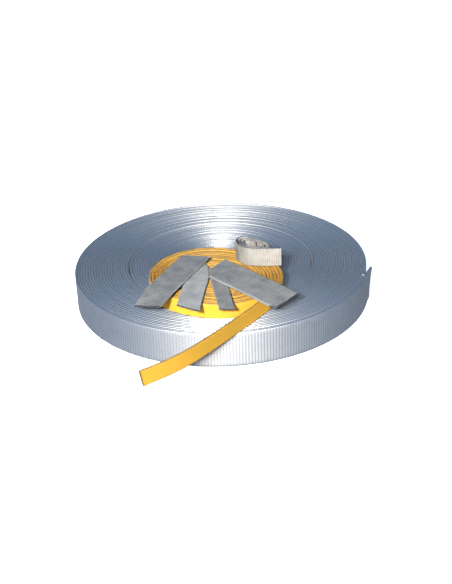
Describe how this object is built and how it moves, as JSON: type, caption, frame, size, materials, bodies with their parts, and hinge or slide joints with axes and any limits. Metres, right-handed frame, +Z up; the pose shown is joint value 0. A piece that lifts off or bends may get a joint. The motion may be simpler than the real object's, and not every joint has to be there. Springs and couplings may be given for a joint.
{
  "type": "rolled fire hose",
  "caption": "Lay-flat woven fire hose rolled flat on its side, with a smaller yellow hose coiled on it, its free end hanging out, and flat cut hose samples fanned on top.",
  "frame": {"origin": "centre of the big roll's turns, on the floor that the roll lies on", "axes": "+Z up along the roll's winding axis; -Y is the front, towards which the yellow hose's free end stands out; +X to the right"},
  "size_m": [0.3633, 0.4645, 0.0876],
  "materials": {
    "roll_jacket": "woven polyester, blue-grey with a silky sheen",
    "liner": "matte black rubber",
    "yellow_jacket": "satin golden yellow plastic cover",
    "yellow_liner": "smooth brown rubber",
    "white_jacket": "woven polyester, warm white",
    "sample_jacket": "woven polyester, grey, ends cut light"
  },
  "bodies": {
    "roll": {"roll_jacket": "roll_jacket", "roll_liner": "liner"},
    "yellow_coil": {"yellow_coil_jacket": "yellow_jacket", "yellow_coil_liner": "yellow_liner", "yellow_tail_jacket": "yellow_jacket", "yellow_tail_liner": "yellow_liner"},
    "white_roll": {"white_roll_jacket": "white_jacket", "white_roll_liner": "liner"},
    "middle_sample": {"middle_sample_jacket": "sample_jacket", "middle_sample_liner": "liner"},
    "left_sample": {"left_sample_jacket": "sample_jacket", "left_sample_liner": "liner"},
    "narrow_sample": {"narrow_sample_jacket": "sample_jacket", "narrow_sample_liner": "liner"},
    "right_sample": {"right_sample_jacket": "sample_jacket", "right_sample_liner": "liner"}
  },
  "joints": [
    {"name": "yellow_coil_lift", "type": "slide", "parent": "roll", "child": "yellow_coil", "axis": [0, 0, 1], "range_m": [0, 0.15]},
    {"name": "white_roll_lift", "type": "slide", "parent": "yellow_coil", "child": "white_roll", "axis": [0, 0, 1], "range_m": [0, 0.1]},
    {"name": "middle_sample_lift", "type": "slide", "parent": "yellow_coil", "child": "middle_sample", "axis": [0, 0, 1], "range_m": [0, 0.06]},
    {"name": "left_sample_lift", "type": "slide", "parent": "middle_sample", "child": "left_sample", "axis": [0, 0, 1], "range_m": [0, 0.06]},
    {"name": "narrow_sample_lift", "type": "slide", "parent": "yellow_coil", "child": "narrow_sample", "axis": [0, 0, 1], "range_m": [0, 0.06]},
    {"name": "right_sample_lift", "type": "slide", "parent": "narrow_sample", "child": "right_sample", "axis": [0, 0, 1], "range_m": [0, 0.06]}
  ]
}
